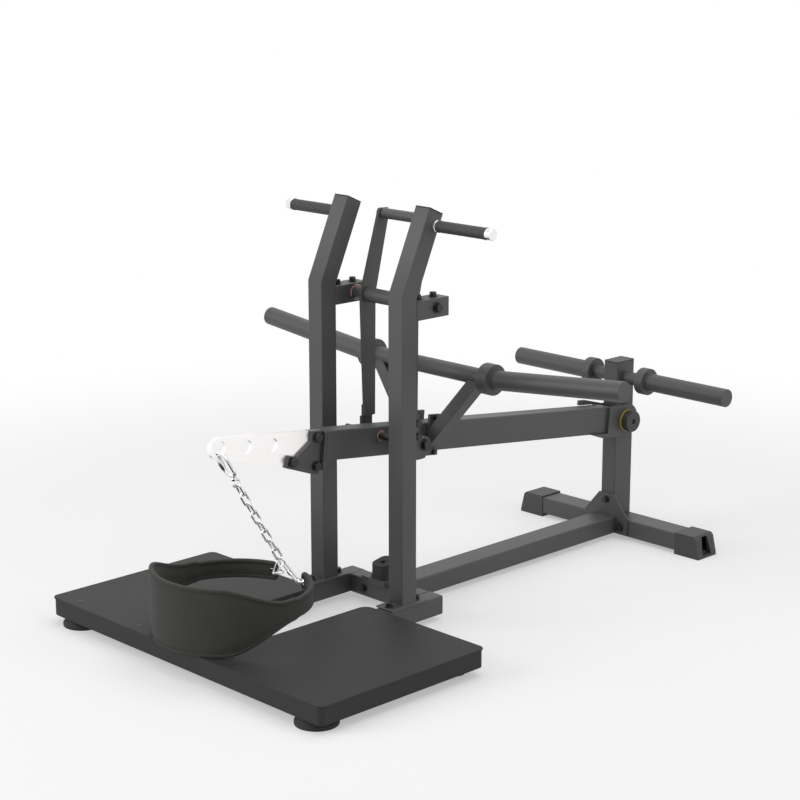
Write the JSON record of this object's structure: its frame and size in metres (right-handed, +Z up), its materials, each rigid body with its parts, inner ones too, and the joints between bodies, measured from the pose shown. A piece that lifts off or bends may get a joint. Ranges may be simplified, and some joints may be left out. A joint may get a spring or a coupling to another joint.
{
  "type": "belt squat machine",
  "caption": "Plate-loaded lever machine with a notched standing platform, two uprights with grips, a lock lever and a padded hip belt on a chain.",
  "frame": {"origin": "centre of the footprint box on the floor", "axes": "+X to the machine's right seen by a person on the platform who faces the rear post, +Y from the platform to the rear post, +Z up"},
  "size_m": [1.2876, 1.688, 1.0685],
  "materials": {
    "frame_paint": "satin charcoal powder coat",
    "rubber": "matt black rubber",
    "black_plastic": "fine grained moulded plastic",
    "chrome": "bright chrome plate",
    "yellow_nylon": "yellow nylon bearing flange",
    "black_steel": "black oxide steel",
    "belt_fabric": "woven black fabric over foam"
  },
  "bodies": {
    "base": {"belt": "belt_fabric", "belt_bridle": "chrome", "bumper_block": "rubber", "bumper_bracket": "frame_paint", "cross_tube": "frame_paint", "handle_grip_left": "rubber", "handle_grip_right": "rubber", "handle_left": "chrome", "handle_right": "chrome", "lever_axle": "black_steel", "main_tube": "frame_paint", "pivot_block_left": "frame_paint", "pivot_block_right": "frame_paint", "platform_deck": "frame_paint", "platform_foot_front_left": "rubber", "platform_foot_front_right": "rubber", "platform_foot_rear_left": "rubber", "platform_foot_rear_right": "rubber", "platform_ribs": "frame_paint", "post_cap": "black_plastic", "rail_left": "frame_paint", "rail_right": "frame_paint", "rear_cap_left": "black_plastic", "rear_cap_right": "black_plastic", "rear_flange_plate": "frame_paint", "rear_foot_bar": "frame_paint", "rear_post": "frame_paint", "storage_horn_left": "frame_paint", "storage_horn_right": "frame_paint", "upright_cap_left": "black_plastic", "upright_cap_right": "black_plastic", "upright_left": "frame_paint", "upright_right": "frame_paint"},
    "arm": {"arm_axle": "black_steel", "arm_beam": "frame_paint", "axle_cap_left": "black_plastic", "axle_cap_right": "black_plastic", "beam_head_plate": "frame_paint", "bearing_ring_left": "yellow_nylon", "bearing_ring_right": "yellow_nylon", "brace_left": "frame_paint", "brace_right": "frame_paint", "catch_shaft": "black_steel", "cheek_left": "frame_paint", "cheek_right": "frame_paint", "clamp_plate_left": "frame_paint", "clamp_plate_right": "frame_paint", "crossbar": "frame_paint", "pull_plate": "chrome", "weight_horn_left": "frame_paint", "weight_horn_right": "frame_paint"},
    "lock_lever": {"hook_buffer_left": "rubber", "hook_buffer_right": "rubber", "hook_plate_left": "frame_paint", "hook_plate_right": "frame_paint", "lock_lever": "frame_paint"},
    "snap_hook": {"snap_hook_body": "chrome", "snap_hook_gate": "chrome", "snap_hook_swivel": "chrome"},
    "chain": {"chain": "chrome"}
  },
  "joints": [
    {"name": "arm_pivot", "type": "hinge", "parent": "base", "child": "arm", "pos_m": [0, 0.78715, 0.344], "axis": [1, 0, 0], "range_deg": [0, 9.5]},
    {"name": "lock_lever_pivot", "type": "hinge", "parent": "base", "child": "lock_lever", "pos_m": [0, -0.12885, 0.818], "axis": [1, 0, 0], "range_deg": [-4, 1]},
    {"name": "snap_hook_swing", "type": "hinge", "parent": "arm", "child": "snap_hook", "pos_m": [0, -0.68698, 0.52105], "axis": [1, 0, 0], "range_deg": [-75.4, 0]},
    {"name": "chain_swing", "type": "hinge", "parent": "base", "child": "chain", "pos_m": [0, -0.49794, 0.21014], "axis": [1, 0, 0], "range_deg": [0, 63.5], "deforming": ["chain"]}
  ],
  "couplings": [
    {"joint": "snap_hook_swing", "follows": "arm_pivot", "ratio": -7.931},
    {"joint": "chain_swing", "follows": "arm_pivot", "ratio": 6.677}
  ]
}
